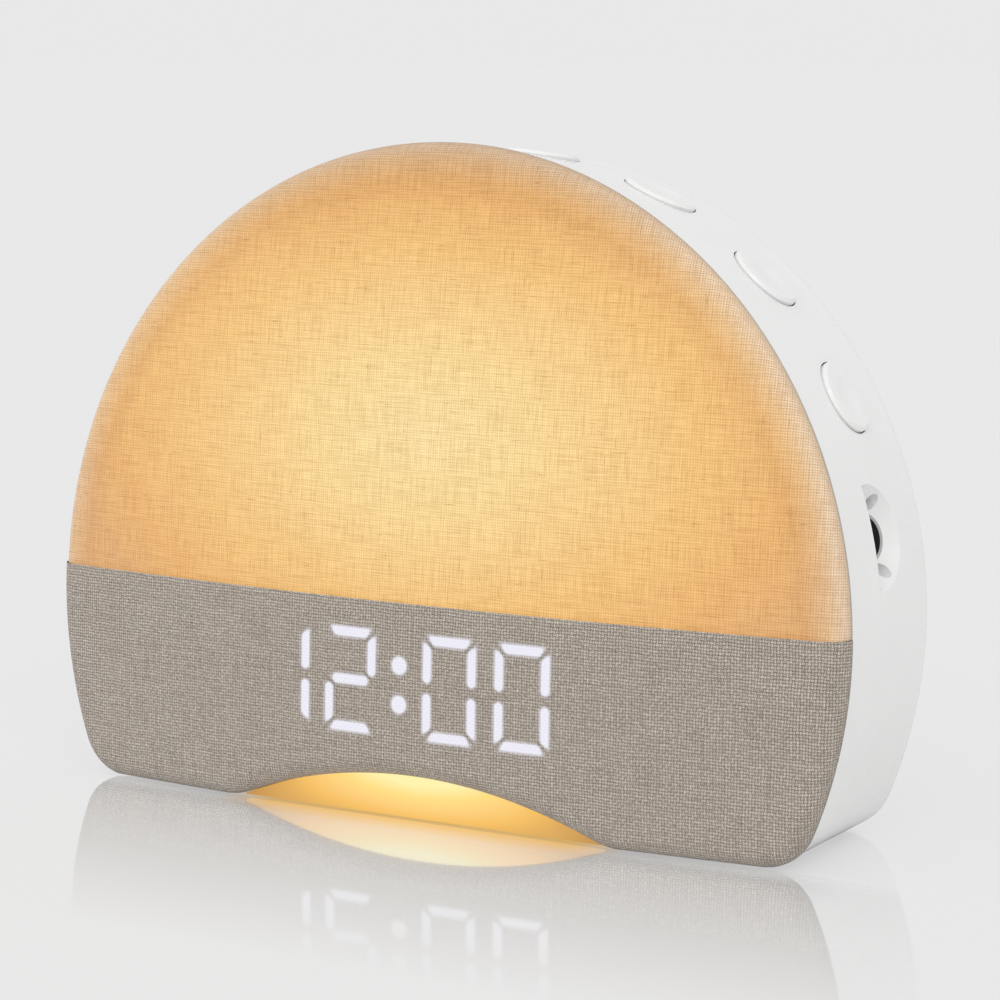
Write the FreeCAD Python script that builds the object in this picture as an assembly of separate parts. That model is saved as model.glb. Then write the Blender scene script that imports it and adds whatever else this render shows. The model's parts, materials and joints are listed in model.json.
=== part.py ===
import FreeCAD, Part
import math
import os

V = FreeCAD.Vector

# Outline of the half-moon body, seen from the front, in millimetres
BODY_R = 100.0          # radius of the big arc
CENTRE_H = 44.3         # height of the arc's centre above the base plane
CORNER_R = 11.6         # rounding between the arc and the base
LEAN = 2.6              # how far the front leans back, in degrees
FOOT_PROUD = 0.6        # how far the rubber feet stand out below the base

# Arch cut into the lower edge of the front
ARCH_HALF = 52.0        # half the width between the feet
ARCH_H = 10.0           # height of the arch
ARCH_BLEND = 20.0       # rounding where the arch meets the feet

# Front covers and the panels that carry them
RIM_DEPTH = 3.9         # depth of the covers at their outer edge
BULGE = 6.4             # how much the dome stands out at the middle
EDGE_R = 3.6            # rolled edge of the covers
FABRIC_T = 0.9
HEM_PROUD = 0.4         # the lower cover is folded, so it stands proud
PANEL_T = 2.1
SEAM_H = 47.4           # height of the seam between the two covers

# Frame between the covers and the housing
FRAME_T = 2.0
TRIM_T = 1.2            # the part of the frame that shows as a thin line
TRIM_INSET = 0.5
FRAME_RAIL = 9.5
CROSSBAR_H = 4.4
BOTTOM_RAIL_H = 12.5
SPIGOT_L = 1.0          # reach of the frame's inner lip into the housing
POST_R = 3.1
POST_FLOOR = 1.0

# Rear housing
HOUSING_INSET = 0.3     # how far the housing's front edge lies inside the covers
HOUSING_R = BODY_R - HOUSING_INSET
REAR_TAPER = 4.2        # how much the radius shrinks towards the rear face
REAR_R = HOUSING_R - REAR_TAPER
DEPTH = 47.4            # from the cover's edge to the rear face
REAR_EDGE_R = 7.4
HOUSING_SPARE = 12.0    # drawn longer than needed, then cut to length
WALL = 2.4

# Buttons around the side
BUTTON_R = 8.0
BUTTON_GAP = 0.3        # gap round each button
BUTTON_PROUD = 0.9
BUTTON_TRAVEL = 0.8
BUTTON_DEPTH = 23.5     # behind the cover's edge
BUTTON_FIRST = 30.0     # angle of the lowest button above the horizontal
BUTTON_PITCH = 18.15    # angle from one button to the next
BUTTON_COUNT = 4        # on each side
DIMPLE_R = 4.6
FLANGE_LIP = 0.9        # how far a button's flange reaches past its cap
FLANGE_T = 1.2
FLANGE_GAP = 0.3
BUTTON_SKIN = 2.0
BUTTON_BEVEL = 0.6
DIMPLE_DEEP = 0.45
STEM_R = 2.4
TIP_R = 1.6
TIP_L = 1.4
TIP_GAP = 0.15
TIP_SUNK = 0.3
SWITCH_SIZE = 6.0
SWITCH_T = 3.2
STRIP_PAD = 5.0         # half length of the flat under each switch
BOARD_T = 0.8
BRACKET_T = 2.4
BRACKET_W = 15.0
BRACKET_POST_R = 2.8
BRACKET_GRIP = 3.0      # how far the posts overlap a bracket's edge
COLLAR_T = 1.4          # wall of the guide round each flange
COLLAR_FLOOR = -5.5
STRIP_BOARD_W = 11.0

# Power inlet in its scooped recess
INLET_ANGLE = 12.5
INLET_DEPTH = 21.6
SCOOP_DEPTH_AT = 17.9   # depth line of the scoop's middle
SCOOP_R = 11.6
SCOOP_DEEP = 5.6
SCOOP_LIP_AT = 16.1     # depth line of the straight front lip
WELL_R = 4.5            # takes the moulded body of a plug
RIM_R = 5.3
WELL_LENGTH = 6.0
JACK_R = 3.1
PIN_R = 1.0
INLET_SCREW_AT = 7.1
RIM_T = 0.5
FACE_DEEP = 6.0         # the bush's face, below the outer surface
FLANGE_HALF = 11.0      # half sizes of the inlet's flange and jack body
INLET_HALF_W = 5.6
FLANGE_PLATE_T = 2.0
JACK_HALF = 6.5
JACK_L = 11.0
PIN_L = 6.0
PIN_SHY = 0.6
INLET_SCREW_SEAT = 1.6
INLET_HEAD_R = 1.5
INLET_HEAD_T = 1.3
INLET_HOLE_R = 1.6
PAD_R = 14.0

# Display
DIGIT_H = 20.2          # between the middles of the top and bottom bars
DIGIT_W = 11.0          # between the middles of the side bars
BAR_T = 2.15
BAR_GAP = 1.0
DIGIT_AT = (-31.3, -13.7, 11.5, 29.3)
DIGITS = ("bc", "abged", "abcdef", "abcdef")
DISPLAY_H = 29.9        # height of the display's middle
COLON_X = -1.1
DOT_R = 1.9
DOT_SPACING = 8.1
GUIDE_L = 5.0
GUIDE_GAP = 0.06
CELL_GAP = 0.16
BLOCK_HALF = 43.5
BLOCK_H = 26.4
BLOCK_BACK = 4.0
BLOCK_FLANGE = 4.0      # fixing flange above and below the block
LED_SIZE = 1.6
LED_T = 0.7
BOARD_THICK = 1.6

# Night light
LENS_S = -4.4
LENS_T = 2.0
LENS_HALF = 46.0
NIGHT_HALF = 26.0
NIGHT_H = 4.6
NIGHT_LOW = 1.8
WARM_LED = (3.5, 2.8, 0.7)      # width, height, thickness
NIGHT_LED_X = (-22, -11, 0, 11, 22)

# Light chamber
TRAY_INSET = 13.2       # inside the body's outline, clear of the buttons
TRAY_R = BODY_R - TRAY_INSET
TRAY_TAPER = 24.8
TRAY_REAR_R = TRAY_R - TRAY_TAPER
TRAY_LOW = 50.4         # height of the tray's floor line at the front
TRAY_REAR_LOW = 60.0
TRAY_DEPTH = 27.5
TRAY_WALL = 1.5
TRAY_SCREWS = ((-38.0, 28.0), (38.0, 28.0), (0.0, 50.0))
LIGHT_BOARD_INSET = 5.0
LIGHT_BOARD_R = TRAY_REAR_R - LIGHT_BOARD_INSET
LIGHT_BOARD_LOW = 64.0
LIGHT_BOARD_T = 1.2
LED_PITCH = 11.0
LED_ROW = 8.8

# Main board
MAIN_S = 36.0
MAIN_X = (24.0, 68.0)
MAIN_Z = (8.0, 40.0)
RIBBON_W = 3.0
RIBBON_T = 0.4
RIBBON_TURN = 5.0
RIBBON_X = 24.0
CELL_X = -48.0
CELL_Z = 24.0
CELL_R = 10.0
CELL_T = 3.2

# Speaker
SPEAKER_R = 18.0
SPEAKER_H = 25.0
SPEAKER_RIM = 3.4
GASKET_T = 0.8
BASKET_DEEP = 8.0
MAGNET_R = 10.0
MAGNET_T = 5.6
GRILLE_HOLE_R = 1.3
GRILLE_PITCH = 4.8
GRILLE_R = 14.6

# Screws and bosses
BOSS_R = 3.7
SCREW_WELL_R = 2.6
BOSS_INSET = 9.6        # from the body's outline to the upper bosses' middles
BOSS_AT = BODY_R - BOSS_INSET
BOSS_FRONT = 9.0
LOW_BOSS_INSET = 26.0   # the lower bosses stand beside the rounded corners
LOW_BOSS_X = BODY_R - LOW_BOSS_INSET
LOW_BOSS_Z = 11.0
PILOT_R = 1.2
SCREW_SEAT = 4.0        # floor of a screw's well behind the boss's front
SMALL_R = 0.8           # shank of the small screws
SMALL_HEAD_R = 1.9
SMALL_HEAD_T = 1.5
SMALL_L = 7.0
SLOT_W = 0.6

# Feet
FOOT_R = 6.0
FOOT_T = 1.6
FOOT_INSET = 33.0       # from the widest line of the body to the feet's middles
FOOT_X = BODY_R - FOOT_INSET
FOOT_Y = (8.0, 33.0)
FOOT_BEVEL = 0.3

CLEAR = 0.1             # between pieces that sit in one another
SEAT_GAP = 0.02         # round the inlet's rim, pressed into its hole
BOARD_POST_R = 2.6
TRAY_POST_R = 3.0
BIG = 400.0

parts = {}


def polar(cx, cz, r, deg):
    a = math.radians(deg)
    return cx + r * math.cos(a), cz + r * math.sin(a)


def arc(cx, cz, r, start, end, y=0.0):
    """Arc in a plane of constant depth, from one angle to another."""
    places = [polar(cx, cz, r, deg) for deg in (start, (start + end) / 2, end)]
    return Part.Arc(*[V(x, y, z) for x, z in places]).toShape()


def line(x0, z0, x1, z1, y=0.0):
    return Part.makeLine(V(x0, y, z0), V(x1, y, z1))


def closed_wire(edges):
    return Part.Wire(Part.__sortEdges__(edges))


def arch_edges(inset, y):
    """The arch between the feet: a big arc with a blend at each end."""
    reach = (ARCH_HALF ** 2 / ARCH_H + ARCH_H) / 2
    big = reach - ARCH_BLEND
    big_z = ARCH_H - big
    turn = math.degrees(math.atan2(ARCH_BLEND - big_z, ARCH_HALF))
    blend = ARCH_BLEND - inset
    return [arc(ARCH_HALF, ARCH_BLEND, blend, 270, 180 + turn, y),
            arc(0, big_z, big + inset, turn, 180 - turn, y),
            arc(-ARCH_HALF, ARCH_BLEND, blend, 270, 360 - turn, y)]


def outline(radius, inset, y=0.0, arch=False):
    """Half-moon outline: big arc, rounded corners and a flat base."""
    r = radius - inset
    rc = CORNER_R - inset
    zc = CORNER_R
    xc = math.sqrt((radius - CORNER_R) ** 2 - (CENTRE_H - zc) ** 2)
    low = math.degrees(math.atan2(zc - CENTRE_H, xc))
    edges = [arc(0, CENTRE_H, r, low, 180 - low, y),
             arc(xc, zc, rc, low, -90, y),
             arc(-xc, zc, rc, 180 - low, 270, y)]
    if arch:
        edges += arch_edges(inset, y)
        edges.append(line(ARCH_HALF, inset, xc, inset, y))
        edges.append(line(-xc, inset, -ARCH_HALF, inset, y))
    else:
        edges.append(line(-xc, inset, xc, inset, y))
    return closed_wire(edges)


def prism(wire, length):
    return Part.Face(wire).extrude(V(0, length, 0))


# The leaning stack: x across, s backwards from the cover's edge, h up from
# the arc's centre. The outer walls run level, only the stack's planes lean.
STACK = FreeCAD.Placement(V(0, 0, CENTRE_H), FreeCAD.Rotation(V(1, 0, 0), -LEAN))


def lean(shape):
    moved = shape.copy()
    moved.Placement = STACK.multiply(moved.Placement)
    return moved


def stack_point(x, s, h):
    return STACK.multVec(V(x, s, h))


def depth_of(point):
    return STACK.inverse().multVec(point).y


def slab(s0, s1):
    """Everything between two leaning planes."""
    return lean(Part.makeBox(2 * BIG, s1 - s0, 2 * BIG, V(-BIG, s0, -BIG)))


def box(x0, x1, s0, s1, h0, h1):
    return lean(Part.makeBox(x1 - x0, s1 - s0, h1 - h0, V(x0, s0, h0)))


def rod(x, h, s0, s1, r):
    """Round bar along the stack's depth."""
    return lean(Part.makeCylinder(r, s1 - s0, V(x, s0, h), V(0, 1, 0)))


def level_box(z0, z1):
    return Part.makeBox(2 * BIG, 2 * BIG, z1 - z0, V(-BIG, -BIG, z0))


def fuse(shapes):
    whole = shapes[0].fuse(shapes[1:]) if len(shapes) > 1 else shapes[0]
    return whole.removeSplitter()


def group(shapes):
    return Part.makeCompound(shapes)


# Front dome and its covers
DOME_R = (BODY_R ** 2 + BULGE ** 2) / (2 * BULGE)
DOME_CENTRE = stack_point(0, DOME_R - RIM_DEPTH - BULGE, 0)


def front_body(inset):
    """Solid inside the front, from the dome back to the cover's edge."""
    body = prism(outline(BODY_R, inset, -BIG / 10, arch=True), BIG / 5)
    dome = Part.makeSphere(DOME_R - inset, DOME_CENTRE)
    body = body.common(dome).common(slab(-BIG / 8, 0))
    radius = EDGE_R - inset
    if radius < 0.3:
        return body
    rim = []
    for edge in body.Edges:
        middle = edge.valueAt((edge.FirstParameter + edge.LastParameter) / 2)
        if abs((middle - DOME_CENTRE).Length - (DOME_R - inset)) < 0.01:
            rim.append(edge)
    return body.makeFillet(radius, rim)


def build_front():
    outer = front_body(0)
    hem = front_body(-HEM_PROUD)
    middle = front_body(FABRIC_T)
    inner = front_body(FABRIC_T + PANEL_T)
    above = level_box(SEAM_H, BIG)
    below = level_box(-HEM_PROUD - 1, SEAM_H)
    parts["upper_fabric"] = outer.cut(middle).common(above)
    parts["light_diffuser"] = middle.cut(inner).common(above)
    lower = hem.common(level_box(0, SEAM_H)).cut(middle)
    parts["lower_fabric"] = lower.common(below)
    panel = middle.cut(inner).common(below)
    windows = [window(*place, GUIDE_GAP) for place in all_bars()]
    windows += [dot(place, GUIDE_GAP) for place in (-1, 1)]
    parts["display_panel"] = panel.cut(windows)
    return middle, inner


# Display
def bar_wire(letter, grow):
    """One bar of a digit, mitred towards its neighbours, about the middle."""
    half_w, half_h = DIGIT_W / 2, DIGIT_H / 2
    t = BAR_T / 2 + grow
    gap = BAR_GAP - grow
    if letter in "adg":
        side = {"a": 1, "g": 0, "d": -1}[letter]
        z = side * half_h
        reach = half_w - gap
        if side == 0:
            corners = [(-reach, z), (t - reach, z + t), (reach - t, z + t),
                       (reach, z), (reach - t, z - t), (t - reach, z - t)]
        else:
            corners = [(-reach - t / 2, z + side * t), (reach + t / 2, z + side * t),
                       (reach - t, z - side * t), (t - reach, z - side * t)]
    else:
        side = 1 if letter in "bc" else -1
        up = 1 if letter in "bf" else -1
        x = side * half_w
        outer = up * (half_h - gap)
        inner = up * gap
        corners = [(x + side * t, outer + up * t / 2), (x + side * t, inner + up * t),
                   (x, inner), (x - side * t, inner + up * t),
                   (x - side * t, outer - up * t)]
    points = [V(x, 0, z) for x, z in corners]
    return Part.makePolygon(points + points[:1])


def all_bars():
    return [(at, letter) for at in DIGIT_AT for letter in "abcdefg"]


def place_display(shape, x, s):
    moved = shape.copy()
    moved.translate(V(x, s, DISPLAY_H - CENTRE_H))
    return lean(moved)


def window(x, letter, grow, s0=-20.0, s1=6.0):
    face = Part.Face(bar_wire(letter, grow))
    return place_display(face.extrude(V(0, s1 - s0, 0)), x, s0)


def dot(side, grow, s0=-20.0, s1=6.0):
    h = DISPLAY_H - CENTRE_H + side * DOT_SPACING / 2
    return rod(COLON_X, h, s0, s1, DOT_R + grow)


def small_screws(places, s, length):
    """Pan-headed screws along the stack, heads in front of the given plane."""
    screws = []
    for x, h in places:
        head = rod(x, h, s - SMALL_HEAD_T, s, SMALL_HEAD_R)
        screws.append(head.fuse(rod(x, h, s, s + length, SMALL_R)))
    return group(screws)


def build_display(middle, inner):
    """Light guides in the panel, the cell block behind and its board."""
    back = -RIM_DEPTH - BULGE + FABRIC_T + GUIDE_L
    reach = middle.common(slab(-20, back))
    lit, unlit = [], []
    for index, at in enumerate(DIGIT_AT):
        for letter in "abcdefg":
            guide = window(at, letter, 0).common(reach)
            (lit if letter in DIGITS[index] else unlit).append(guide)
    parts["lit_bar_guides"] = group(lit)
    parts["unlit_bar_guides"] = group(unlit)
    parts["colon_guides"] = group([dot(side, 0).common(reach) for side in (-1, 1)])

    h0 = DISPLAY_H - BLOCK_H / 2 - CENTRE_H
    h1 = DISPLAY_H + BLOCK_H / 2 - CENTRE_H
    block = box(-BLOCK_HALF, BLOCK_HALF, -RIM_DEPTH - BULGE, BLOCK_BACK, h0, h1)
    block = fuse([block.common(inner),
                  box(-BLOCK_HALF, BLOCK_HALF, 0, BLOCK_BACK, h0, h1),
                  box(-BLOCK_HALF, BLOCK_HALF, FRAME_T, BLOCK_BACK,
                      h0 - BLOCK_FLANGE, h1 + BLOCK_FLANGE)])
    cells = [window(at, letter, CELL_GAP) for at, letter in all_bars()]
    cells += [dot(side, CELL_GAP) for side in (-1, 1)]
    parts["display_block"] = block.cut(cells)

    parts["display_board"] = box(-BLOCK_HALF, BLOCK_HALF, BLOCK_BACK,
                                 BLOCK_BACK + BOARD_THICK, h0, h1)
    half_w, half_h = DIGIT_W / 2, DIGIT_H / 2
    spots = {"a": (0, half_h), "g": (0, 0), "d": (0, -half_h), "b": (half_w, half_h / 2),
             "c": (half_w, -half_h / 2), "e": (-half_w, -half_h / 2), "f": (-half_w, half_h / 2)}
    leds = [(at + spots[letter][0], spots[letter][1]) for at, letter in all_bars()]
    leds += [(COLON_X, side * DOT_SPACING / 2) for side in (-1, 1)]
    middle_h = DISPLAY_H - CENTRE_H
    half = LED_SIZE / 2
    parts["display_leds"] = group(
        [box(x - half, x + half, BLOCK_BACK - LED_T, BLOCK_BACK,
             middle_h + z - half, middle_h + z + half) for x, z in leds])


# Night light behind the arch
def warm_leds(places, s):
    """Flat lamps whose backs lie on the given plane, about their middles."""
    width, height, thick = WARM_LED
    return group([box(x - width / 2, x + width / 2, s - thick, s,
                      h - height / 2, h + height / 2) for x, h in places])


def build_night_light():
    room = prism(outline(BODY_R, -HEM_PROUD - CLEAR, -BIG / 10, arch=True), BIG / 5)
    plate = Part.makeBox(2 * LENS_HALF, BIG / 5, ARCH_H + 1, V(-LENS_HALF, -BIG / 10, CLEAR))
    plate = plate.common(slab(LENS_S, LENS_S + LENS_T))
    parts["night_light_lens"] = plate.cut(room)
    low = NIGHT_LOW - CENTRE_H
    parts["night_light_board"] = box(-NIGHT_HALF, NIGHT_HALF, -1.0, 0, low, low + NIGHT_H)
    parts["night_light_leds"] = warm_leds(
        [(x, low + NIGHT_H / 2) for x in NIGHT_LED_X], -1.0)


def build_frame():
    """Ring between the covers and the housing, with a crossbar."""
    ring = prism(outline(BODY_R, TRIM_INSET, -40), 80).common(slab(0, TRIM_T))
    spigot = housing_prism(WALL + CLEAR).common(slab(TRIM_T, FRAME_T + SPIGOT_L))
    inside = prism(outline(BODY_R, FRAME_RAIL, -40), 80)
    bar = level_box(SEAM_H - CROSSBAR_H / 2, SEAM_H + CROSSBAR_H / 2)
    rail = level_box(0, BOTTOM_RAIL_H)
    opening = inside.cut(fuse([bar, rail]))
    step = prism(outline(BODY_R, 2 * WALL + CLEAR, -40), 80)
    step = step.common(slab(FRAME_T, FRAME_T + 2 * SPIGOT_L))
    frame = fuse([ring, spigot]).cut([opening, step])
    posts = [rod(x, h, 0, BOSS_FRONT - CLEAR, POST_R) for x, h in boss_places()]
    frame = fuse([frame] + posts)
    pilots = [rod(x, h, POST_FLOOR, BOSS_FRONT, PILOT_R) for x, h in boss_places()]
    parts["front_frame"] = frame.cut(pilots)


# Rear housing
def housing_radius(y):
    return HOUSING_R - (HOUSING_R - REAR_R) * y / DEPTH


def housing_prism(inset):
    """Tapering half-moon body, longer than needed at both ends."""
    y0, y1 = -HOUSING_SPARE, DEPTH + HOUSING_SPARE
    r0, r1 = housing_radius(y0) - inset, housing_radius(y1) - inset
    body = Part.makeCone(r0, r1, y1 - y0, V(0, y0, CENTRE_H), V(0, 1, 0))
    body = body.common(level_box(inset, BIG))
    corners = []
    for edge in body.Edges:
        bounds = edge.BoundBox
        if bounds.ZMax < inset + 0.01 and bounds.YLength > DEPTH:
            corners.append(edge)
    return body.makeFillet(CORNER_R - inset, corners)


def rear_edges(body, s):
    """Edges of a body that lie in the leaning plane at a given depth."""
    edges = []
    for edge in body.Edges:
        middle = edge.valueAt((edge.FirstParameter + edge.LastParameter) / 2)
        if abs(depth_of(middle) - s) < 0.01:
            edges.append(edge)
    return edges


def boss_places():
    between = BUTTON_FIRST + BUTTON_PITCH / 2
    upper = [polar(0, 0, BOSS_AT, deg) for deg in (90, between, 180 - between)]
    lower = [(side * LOW_BOSS_X, LOW_BOSS_Z - CENTRE_H) for side in (-1, 1)]
    return upper + lower


# Frames on the side wall: w runs out of the wall, along its slope
TAPER = math.degrees(math.atan((HOUSING_R - REAR_R) / DEPTH))


def wall_point(deg, depth):
    """Point on the housing's outer surface and the direction out of it."""
    a = math.radians(deg)
    y = depth + housing_radius(depth) * math.sin(a) * math.tan(math.radians(LEAN))
    r = housing_radius(y)
    tau = math.radians(TAPER)
    place = V(r * math.cos(a), y, CENTRE_H + r * math.sin(a))
    out = V(math.cos(tau) * math.cos(a), math.sin(tau), math.cos(tau) * math.sin(a))
    return place, out


def wall_frame(deg, depth):
    """Placement with z out of the wall, y backwards and x down the arc on the right."""
    place, out = wall_point(deg, depth)
    a = math.radians(deg)
    along = V(math.sin(a), 0, -math.cos(a))
    side = out.cross(along)
    return FreeCAD.Placement(place, FreeCAD.Rotation(along, side, out, "ZXY"))


def on_wall(shape, frame):
    moved = shape.copy()
    moved.Placement = frame.multiply(moved.Placement)
    return moved


def wall_rod(frame, r, w0, w1, x=0.0, y=0.0):
    return on_wall(Part.makeCylinder(r, w1 - w0, V(x, y, w0)), frame)


def wall_box(frame, half_x, half_y, w0, w1, x=0.0, y=0.0):
    corner = V(x - half_x, y - half_y, w0)
    return on_wall(Part.makeBox(2 * half_x, 2 * half_y, w1 - w0, corner), frame)


def button_angles():
    right = [BUTTON_FIRST + BUTTON_PITCH * k for k in range(BUTTON_COUNT)]
    return right, [180 - deg for deg in right]


FLANGE_R = BUTTON_R + FLANGE_LIP
FLANGE_TOP = -WALL - FLANGE_R ** 2 / (2 * REAR_R) - CLEAR
STEM_END = -10.4        # the stem's tip, sunk a little into the switch
SWITCH_TOP = STEM_END + TIP_SUNK
PAD_TOP = SWITCH_TOP - SWITCH_T


def button_solid():
    """Cap with a dished top, a flange behind the wall and a stem."""
    top = BUTTON_PROUD
    under = top - BUTTON_SKIN
    floor = FLANGE_TOP - FLANGE_T
    shoulder = SWITCH_TOP + TIP_L
    corners = [(0, top), (BUTTON_R - BUTTON_BEVEL, top), (BUTTON_R, top - BUTTON_BEVEL),
               (BUTTON_R, FLANGE_TOP), (FLANGE_R, FLANGE_TOP), (FLANGE_R, floor),
               (FLANGE_R - BUTTON_SKIN, floor), (FLANGE_R - BUTTON_SKIN, under),
               (STEM_R, under), (STEM_R, shoulder), (TIP_R, shoulder),
               (TIP_R, STEM_END), (0, STEM_END)]
    section = Part.makePolygon([V(x, 0, w) for x, w in corners + corners[:1]])
    cap = Part.Face(section).revolve(V(0, 0, 0), V(0, 0, 1), 360)
    dish = (DIMPLE_R ** 2 + DIMPLE_DEEP ** 2) / (2 * DIMPLE_DEEP)
    return cap.cut(Part.makeSphere(dish, V(0, 0, top - DIMPLE_DEEP + dish)))


def strip(angles, half_width, top, thickness):
    """Faceted band under the buttons, flat below each one."""
    wires = []
    for deg in angles:
        frame = wall_frame(deg, BUTTON_DEPTH)
        ends = (STRIP_PAD, -STRIP_PAD) if angles[0] < angles[-1] else (-STRIP_PAD, STRIP_PAD)
        for x in ends:
            corners = [V(x, y, w) for y, w in ((-half_width, top), (half_width, top),
                                               (half_width, top - thickness),
                                               (-half_width, top - thickness))]
            points = [frame.multVec(corner) for corner in corners]
            wires.append(Part.makePolygon(points + points[:1]))
    return Part.makeLoft(wires, True, True)


def build_buttons():
    switches = []
    for side, angles in zip(("right", "left"), button_angles()):
        for index, deg in enumerate(angles):
            frame = wall_frame(deg, BUTTON_DEPTH)
            parts["button_%s_%d" % (side, index + 1)] = on_wall(button_solid(), frame)
            switch = wall_box(frame, SWITCH_SIZE / 2, SWITCH_SIZE / 2, PAD_TOP, SWITCH_TOP)
            bore = wall_rod(frame, TIP_R + TIP_GAP, STEM_END - BUTTON_TRAVEL - TIP_SUNK,
                            SWITCH_TOP + 1)
            switches.append(switch.cut(bore))
        parts["button_board_" + side] = strip(angles, STRIP_BOARD_W / 2, PAD_TOP, BOARD_T)
        parts["button_bracket_" + side] = strip(
            angles, BRACKET_W / 2, PAD_TOP - BOARD_T, BRACKET_T)
    parts["button_switches"] = group(switches)


def bracket_posts():
    """Posts on the rear wall that reach the brackets' rear edges."""
    posts = []
    deep = PAD_TOP - BOARD_T - BRACKET_T * 0.75
    front = BUTTON_DEPTH + BRACKET_W / 2 - BRACKET_GRIP
    for angles in button_angles():
        for first, second in ((0, 1), (2, 3)):
            place, out = wall_point((angles[first] + angles[second]) / 2, BUTTON_DEPTH)
            spot = STACK.inverse().multVec(place + out * deep)
            posts.append(rod(spot.x, spot.z, front, DEPTH - WALL, BRACKET_POST_R))
    return posts


# Power inlet: frames at the inlet, at the scoop's middle and at its screws
def inlet_frames():
    return (wall_frame(INLET_ANGLE, INLET_DEPTH), wall_frame(INLET_ANGLE, SCOOP_DEPTH_AT),
            wall_frame(INLET_ANGLE, BUTTON_DEPTH))


INLET_PAD = -SCOOP_DEEP - 3.4
WELL_FLOOR = -FACE_DEEP - WELL_LENGTH


def inlet_rods(radius, w0, w1):
    """A pair of rods at the two flange screws."""
    frame = inlet_frames()[2]
    return [wall_rod(frame, radius, w0, w1, x=side * INLET_SCREW_AT) for side in (-1, 1)]


def scoop_cut():
    """Round scoop with a straight front lip."""
    frame = inlet_frames()[1]
    radius = (SCOOP_R ** 2 + SCOOP_DEEP ** 2) / (2 * SCOOP_DEEP)
    ball = on_wall(Part.makeSphere(radius, V(0, 0, radius - SCOOP_DEEP)), frame)
    lip = SCOOP_LIP_AT - SCOOP_DEPTH_AT
    side = 3 * SCOOP_R
    keep = on_wall(Part.makeBox(2 * side, side, 2 * side, V(-side, lip, -side)), frame)
    return ball.common(keep)


def build_inlet():
    frame = inlet_frames()[0]
    bush_r = RIM_R - RIM_T
    rim = wall_rod(frame, RIM_R, INLET_PAD, 0)
    parts["inlet_rim"] = rim.cut([wall_rod(frame, bush_r, INLET_PAD - 1, 1), scoop_cut()])
    body = fuse([wall_rod(frame, bush_r, INLET_PAD, -FACE_DEEP),
                 wall_box(frame, FLANGE_HALF, INLET_HALF_W, INLET_PAD - FLANGE_PLATE_T, INLET_PAD),
                 wall_box(frame, JACK_HALF, INLET_HALF_W, INLET_PAD - JACK_L, INLET_PAD - 1)])
    body = body.cut([wall_rod(frame, WELL_R, WELL_FLOOR, 1),
                     wall_rod(frame, JACK_R, WELL_FLOOR - PIN_L, WELL_FLOOR + 1)])
    parts["inlet_body"] = body.cut(inlet_rods(SMALL_R, INLET_PAD - FLANGE_PLATE_T - 1, 0))
    parts["inlet_pin"] = wall_rod(frame, PIN_R, WELL_FLOOR - PIN_L, WELL_FLOOR - PIN_SHY)
    seat = INLET_PAD + INLET_SCREW_SEAT
    screws = []
    for index, side in enumerate((-1, 1)):
        head = inlet_rods(INLET_HEAD_R, seat, seat + INLET_HEAD_T)[index]
        shank = inlet_rods(SMALL_R, INLET_PAD - FLANGE_PLATE_T, seat)[index]
        slot = wall_box(inlet_frames()[2], INLET_HEAD_R * 0.7, SLOT_W / 2,
                        seat + INLET_HEAD_T / 2, seat + 2 * INLET_HEAD_T,
                        x=side * INLET_SCREW_AT)
        screws.append(head.fuse(shank).cut(slot))
    parts["inlet_screws"] = group(screws)


def grille_places():
    """Hexagonal pattern of holes inside a circle."""
    places = []
    row_h = GRILLE_PITCH * math.sin(math.radians(60))
    reach = int(GRILLE_R / row_h) + 1
    for row in range(-reach, reach + 1):
        for column in range(-reach, reach + 1):
            x = (column + (row % 2) / 2) * GRILLE_PITCH
            z = row * row_h
            if math.hypot(x, z) <= GRILLE_R:
                places.append((x, z))
    return places


def housing_shell():
    outer = housing_prism(0).common(slab(TRIM_T, DEPTH))
    outer = outer.makeFillet(REAR_EDGE_R, rear_edges(outer, DEPTH))
    hollow = housing_prism(WALL).common(slab(-BIG / 10, DEPTH - WALL))
    hollow = hollow.makeFillet(REAR_EDGE_R - WALL, rear_edges(hollow, DEPTH - WALL))
    return outer, outer.cut(hollow)


def housing_posts():
    """Bosses, posts, collars and rings that stand on the inside of the wall."""
    rear = DEPTH - WALL / 2
    posts = [rod(x, h, BOSS_FRONT, rear, BOSS_R) for x, h in boss_places()]
    posts += bracket_posts()
    middle = (SCOOP_LIP_AT + INLET_DEPTH) / 2 + 2
    posts.append(wall_rod(wall_frame(INLET_ANGLE, middle), PAD_R, INLET_PAD, -WALL / 2))
    for deg in sum(button_angles(), []):
        place = wall_frame(deg, BUTTON_DEPTH)
        posts.append(wall_rod(place, FLANGE_R + FLANGE_GAP + COLLAR_T, COLLAR_FLOOR, -WALL / 2))
    posts.append(rod(0, SPEAKER_H - CENTRE_H, DEPTH - 2 * WALL, rear, SPEAKER_R + COLLAR_T))
    posts += [rod(x, h, MAIN_S + BOARD_THICK, rear, BOARD_POST_R)
              for x, h in board_screw_places()]
    posts += [rod(x, h, TRAY_DEPTH, rear, TRAY_POST_R) for x, h in TRAY_SCREWS]
    return posts


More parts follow.
